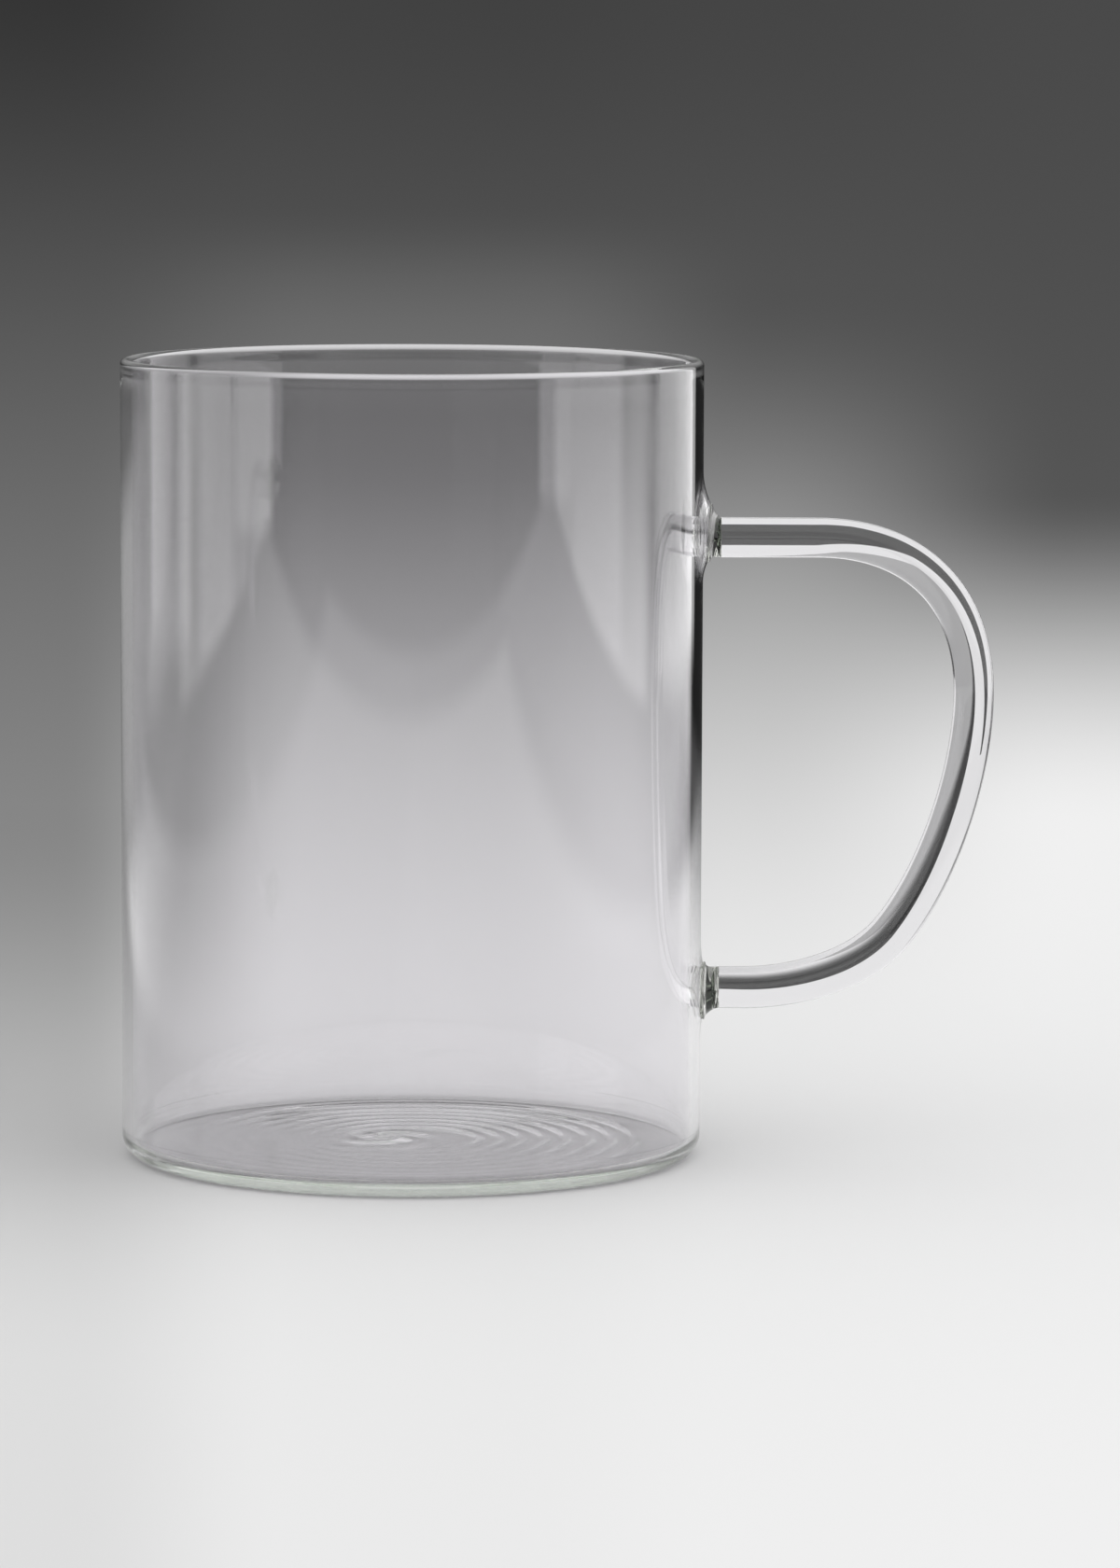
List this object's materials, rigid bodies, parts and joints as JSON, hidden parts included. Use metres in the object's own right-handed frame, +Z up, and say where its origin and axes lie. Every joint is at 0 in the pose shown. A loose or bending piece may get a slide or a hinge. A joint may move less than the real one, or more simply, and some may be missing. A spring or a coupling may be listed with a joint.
{
  "type": "glass mug",
  "caption": "Clear glass mug with straight walls, a fire-polished rim, a rounded heel and a bent solid-rod handle joined to the wall by flared glass seals.",
  "frame": {"origin": "on the cup's axis, in the flat underside that it stands on", "axes": "+Z up along the cup's axis, +X from the axis towards the handle, +Y across the handle's plane"},
  "size_m": [0.1202, 0.08, 0.11],
  "materials": {
    "clear_glass": "fire-polished clear borosilicate",
    "seal_glass": "fire-polished, greenish where it is thick"
  },
  "bodies": {
    "root": {"body_tube": "clear_glass", "base": "clear_glass", "handle_rod": "clear_glass", "upper_handle_seal": "seal_glass", "lower_handle_seal": "seal_glass"}
  },
  "joints": []
}
